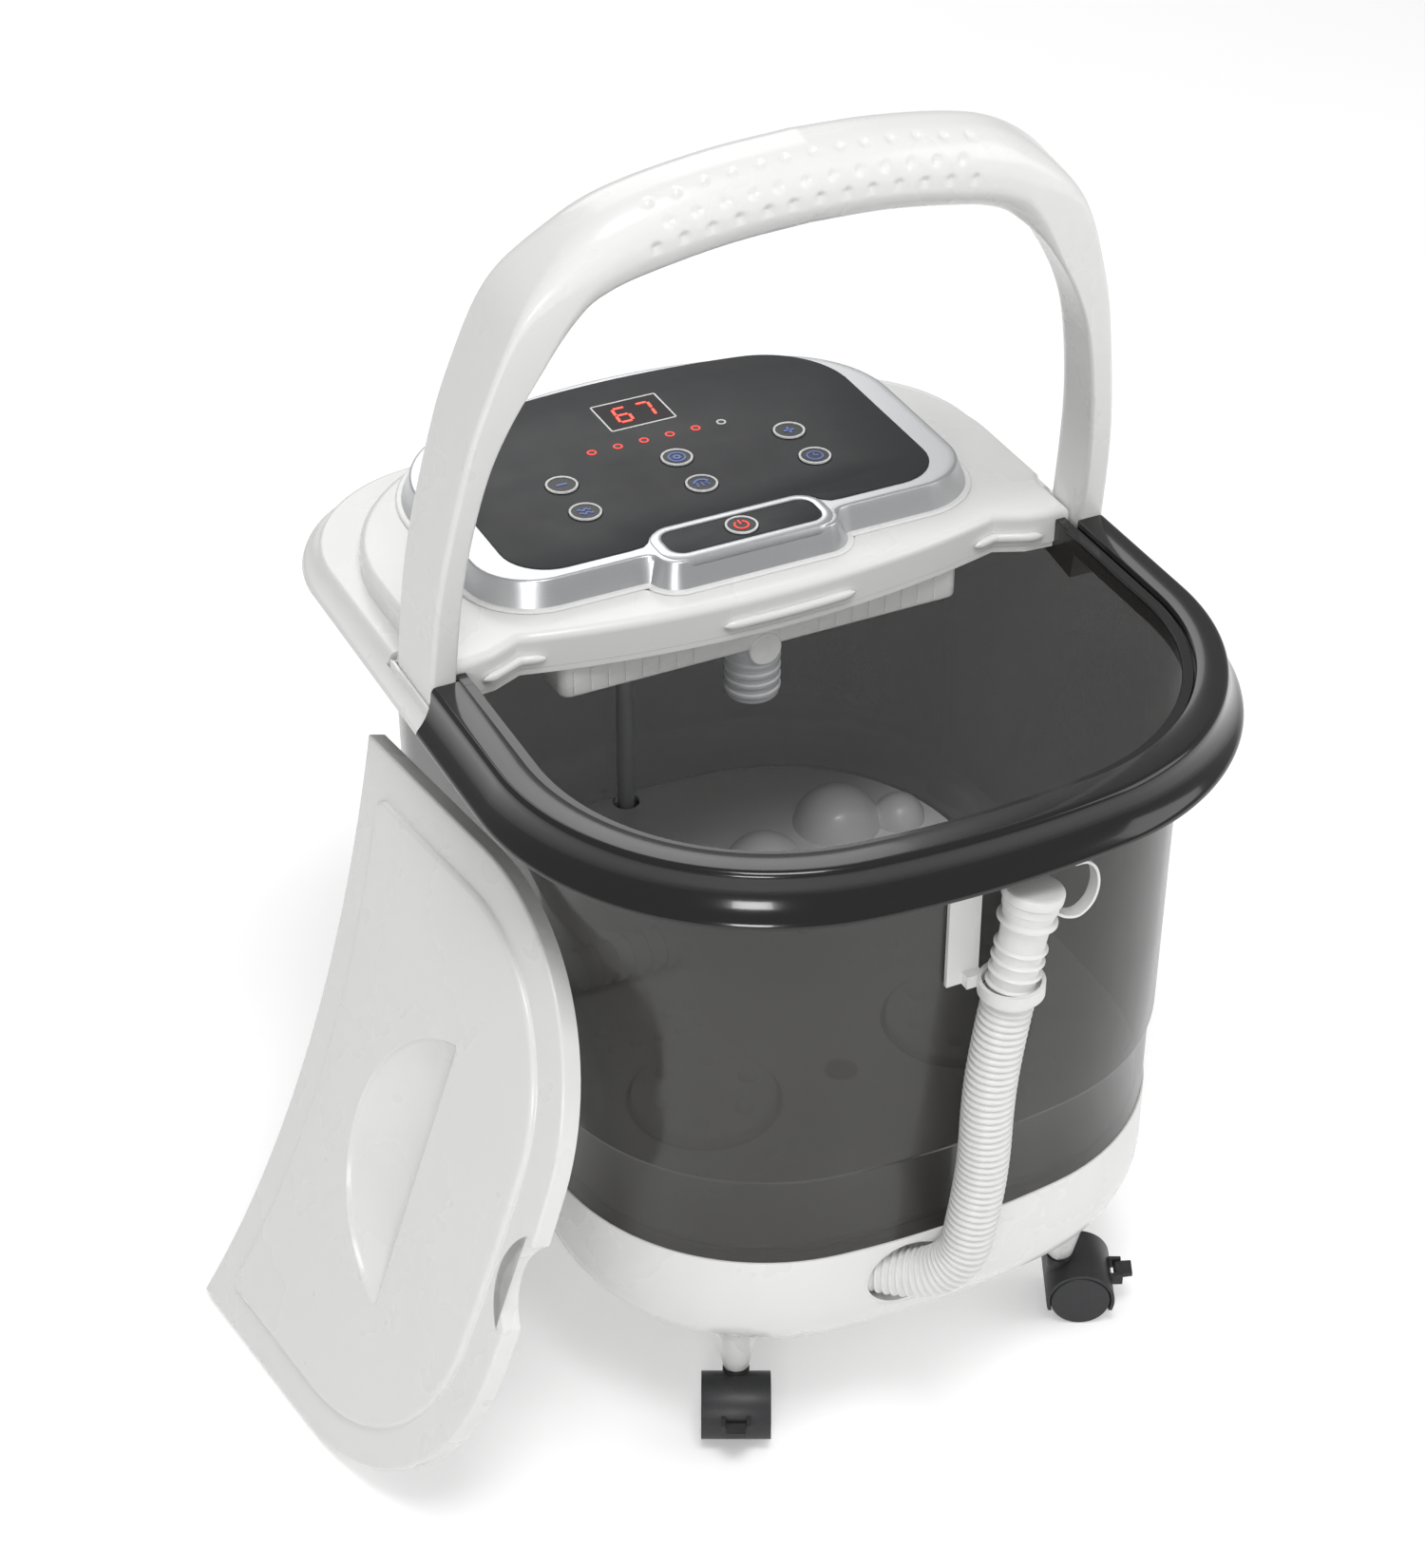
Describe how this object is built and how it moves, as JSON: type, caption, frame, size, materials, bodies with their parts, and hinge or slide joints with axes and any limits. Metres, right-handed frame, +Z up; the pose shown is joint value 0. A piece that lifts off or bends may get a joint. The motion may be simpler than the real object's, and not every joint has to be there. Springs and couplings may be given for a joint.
{
  "type": "foot spa basin",
  "caption": "Tub-shaped foot spa on swivel casters with smoked tub, dark rim, rear control panel, shower bar, lift-out carrying handle, leaning lid and drain hose.",
  "frame": {"origin": "on the floor, under the middle of the tub", "axes": "+Z up, -Y towards the user's side (front), +Y to the rear with the control panel, +X to the right seen from the front"},
  "size_m": [0.5152, 0.4772, 0.6482],
  "materials": {
    "white_body": "glossy white moulded plastic",
    "grey_floor": "satin grey moulded plastic",
    "smoked_tub": "smoked translucent plastic",
    "black_rim": "high gloss black",
    "silver_bezel": "brushed silver",
    "black_panel": "matt black film",
    "key_black": "black caps with silver rings",
    "display": "black lens with red figures",
    "red_lamp": "red light rings",
    "board_green": "printed circuit board",
    "white_hose": "white flexible plastic",
    "black_caster": "black nylon",
    "steel": "plated steel",
    "pipe_clear": "clear plastic",
    "motor_grey": "grey enamel",
    "heater_steel": "stainless tube"
  },
  "bodies": {
    "root": {"base_tray": "white_body", "base_plate": "white_body", "base_screws": "steel", "hose_outlet": "white_body", "cord_gland": "black_caster", "caster_stems": "steel", "basin": "smoked_tub", "massage_floor": "grey_floor", "massage_motors": "motor_grey", "pump_motor": "motor_grey", "pump_body": "motor_grey", "heater_tube": "heater_steel", "shower_pipe": "pipe_clear", "power_board": "board_green", "rim": "black_rim", "rear_skirt": "white_body", "rear_cover": "white_body", "cover_base": "grey_floor", "panel_bezel": "silver_bezel", "control_panel": "black_panel", "pod_plate": "black_panel", "circuit_board": "board_green", "status_lights": "red_lamp", "display_window": "display", "shower_bar": "white_body", "nozzle_plates": "white_body", "filter_cup": "pipe_clear", "water_sensor": "steel", "drain_hose": "white_hose", "hose_cuff": "white_hose", "cap_strap": "white_hose", "hose_bracket": "white_hose"},
    "handle": {"handle_front": "white_body", "handle_back": "white_body"},
    "lid": {"lid": "white_body"},
    "hose_cap": {"hose_cap": "white_hose"},
    "disc_left": {"disc_left": "grey_floor"},
    "disc_right": {"disc_right": "grey_floor"},
    "roller_left": {"roller_left": "grey_floor"},
    "roller_right": {"roller_right": "grey_floor"},
    "pump_impeller": {"pump_impeller": "motor_grey"},
    "key_temp_down": {"key_temp_down": "key_black"},
    "key_red_light": {"key_red_light": "key_black"},
    "key_temp_up": {"key_temp_up": "key_black"},
    "key_massage": {"key_massage": "key_black"},
    "key_shower": {"key_shower": "key_black"},
    "key_timer": {"key_timer": "key_black"},
    "key_power": {"key_power": "key_black"},
    "caster_hood_fl": {"caster_hood_fl": "black_caster"},
    "caster_wheels_fl": {"caster_wheels_fl": "black_caster"},
    "caster_brake_fl": {"caster_brake_fl": "black_caster"},
    "caster_hood_fr": {"caster_hood_fr": "black_caster"},
    "caster_wheels_fr": {"caster_wheels_fr": "black_caster"},
    "caster_brake_fr": {"caster_brake_fr": "black_caster"},
    "caster_hood_rl": {"caster_hood_rl": "black_caster"},
    "caster_wheels_rl": {"caster_wheels_rl": "black_caster"},
    "caster_brake_rl": {"caster_brake_rl": "black_caster"},
    "caster_hood_rr": {"caster_hood_rr": "black_caster"},
    "caster_wheels_rr": {"caster_wheels_rr": "black_caster"},
    "caster_brake_rr": {"caster_brake_rr": "black_caster"}
  },
  "joints": [
    {"name": "handle_lift", "type": "slide", "parent": "root", "child": "handle", "axis": [0, -0.1478, 0.989], "range_m": [0, 0.045]},
    {"name": "lid_takeaway", "type": "slide", "parent": "root", "child": "lid", "axis": [-0.9273, -0.1181, 0.3553], "range_m": [0, 0.1]},
    {"name": "cap_pull", "type": "slide", "parent": "root", "child": "hose_cap", "axis": [0.1695, 0, 0.9855], "range_m": [0, 0.009]},
    {"name": "disc_left_spin", "type": "hinge", "parent": "root", "child": "disc_left", "pos_m": [-0.075, -0.07, 0.145], "axis": [0, 0, 1], "continuous": true},
    {"name": "disc_right_spin", "type": "hinge", "parent": "root", "child": "disc_right", "pos_m": [0.075, -0.07, 0.145], "axis": [0, 0, 1], "continuous": true},
    {"name": "roller_left_spin", "type": "hinge", "parent": "root", "child": "roller_left", "pos_m": [-0.075, 0.04, 0.158], "axis": [1, 0, 0], "continuous": true},
    {"name": "roller_right_spin", "type": "hinge", "parent": "root", "child": "roller_right", "pos_m": [0.075, 0.04, 0.158], "axis": [1, 0, 0], "continuous": true},
    {"name": "impeller_spin", "type": "hinge", "parent": "root", "child": "pump_impeller", "pos_m": [0, -0.08, 0.11], "axis": [0, 0, 1], "continuous": true},
    {"name": "key_temp_down_press", "type": "slide", "parent": "root", "child": "key_temp_down", "axis": [0, 0, -1], "range_m": [0, 0.0008], "stiffness_N_per_m": 400, "springref_m": -0.0004},
    {"name": "key_red_light_press", "type": "slide", "parent": "root", "child": "key_red_light", "axis": [0, 0, -1], "range_m": [0, 0.0008], "stiffness_N_per_m": 400, "springref_m": -0.0004},
    {"name": "key_temp_up_press", "type": "slide", "parent": "root", "child": "key_temp_up", "axis": [0, 0, -1], "range_m": [0, 0.0008], "stiffness_N_per_m": 400, "springref_m": -0.0004},
    {"name": "key_massage_press", "type": "slide", "parent": "root", "child": "key_massage", "axis": [0, 0, -1], "range_m": [0, 0.0008], "stiffness_N_per_m": 400, "springref_m": -0.0004},
    {"name": "key_shower_press", "type": "slide", "parent": "root", "child": "key_shower", "axis": [0, 0, -1], "range_m": [0, 0.0008], "stiffness_N_per_m": 400, "springref_m": -0.0004},
    {"name": "key_timer_press", "type": "slide", "parent": "root", "child": "key_timer", "axis": [0, 0, -1], "range_m": [0, 0.0008], "stiffness_N_per_m": 400, "springref_m": -0.0004},
    {"name": "key_power_press", "type": "slide", "parent": "root", "child": "key_power", "axis": [0, 0, -1], "range_m": [0, 0.0008], "stiffness_N_per_m": 400, "springref_m": -0.0004},
    {"name": "swivel_fl", "type": "hinge", "parent": "root", "child": "caster_hood_fl", "pos_m": [-0.097, -0.153, 0.03], "axis": [0, 0, 1], "continuous": true},
    {"name": "wheel_fl", "type": "hinge", "parent": "caster_hood_fl", "child": "caster_wheels_fl", "pos_m": [-0.10182, -0.16289, 0.016], "axis": [-0.8988, 0.4384, 0], "continuous": true},
    {"name": "brake_fl", "type": "hinge", "parent": "caster_hood_fl", "child": "caster_brake_fl", "pos_m": [-0.11103, -0.18176, 0.022], "axis": [0.8988, -0.4384, 0], "range_deg": [0, 15]},
    {"name": "swivel_fr", "type": "hinge", "parent": "root", "child": "caster_hood_fr", "pos_m": [0.097, -0.153, 0.03], "axis": [0, 0, 1], "continuous": true},
    {"name": "wheel_fr", "type": "hinge", "parent": "caster_hood_fr", "child": "caster_wheels_fr", "pos_m": [0.10689, -0.15782, 0.016], "axis": [-0.4384, -0.8988, 0], "continuous": true},
    {"name": "brake_fr", "type": "hinge", "parent": "caster_hood_fr", "child": "caster_brake_fr", "pos_m": [0.12576, -0.16703, 0.022], "axis": [0.4384, 0.8988, 0], "range_deg": [0, 15]},
    {"name": "swivel_rl", "type": "hinge", "parent": "root", "child": "caster_hood_rl", "pos_m": [-0.097, 0.153, 0.03], "axis": [0, 0, 1], "continuous": true},
    {"name": "wheel_rl", "type": "hinge", "parent": "caster_hood_rl", "child": "caster_wheels_rl", "pos_m": [-0.10653, 0.1585, 0.016], "axis": [0.5, 0.866, 0], "continuous": true},
    {"name": "brake_rl", "type": "hinge", "parent": "caster_hood_rl", "child": "caster_brake_rl", "pos_m": [-0.12471, 0.169, 0.022], "axis": [-0.5, -0.866, 0], "range_deg": [0, 15]},
    {"name": "swivel_rr", "type": "hinge", "parent": "root", "child": "caster_hood_rr", "pos_m": [0.097, 0.153, 0.03], "axis": [0, 0, 1], "continuous": true},
    {"name": "wheel_rr", "type": "hinge", "parent": "caster_hood_rr", "child": "caster_wheels_rr", "pos_m": [0.1025, 0.16253, 0.016], "axis": [0.866, -0.5, 0], "continuous": true},
    {"name": "brake_rr", "type": "hinge", "parent": "caster_hood_rr", "child": "caster_brake_rr", "pos_m": [0.113, 0.18071, 0.022], "axis": [-0.866, 0.5, 0], "range_deg": [0, 15]}
  ]
}
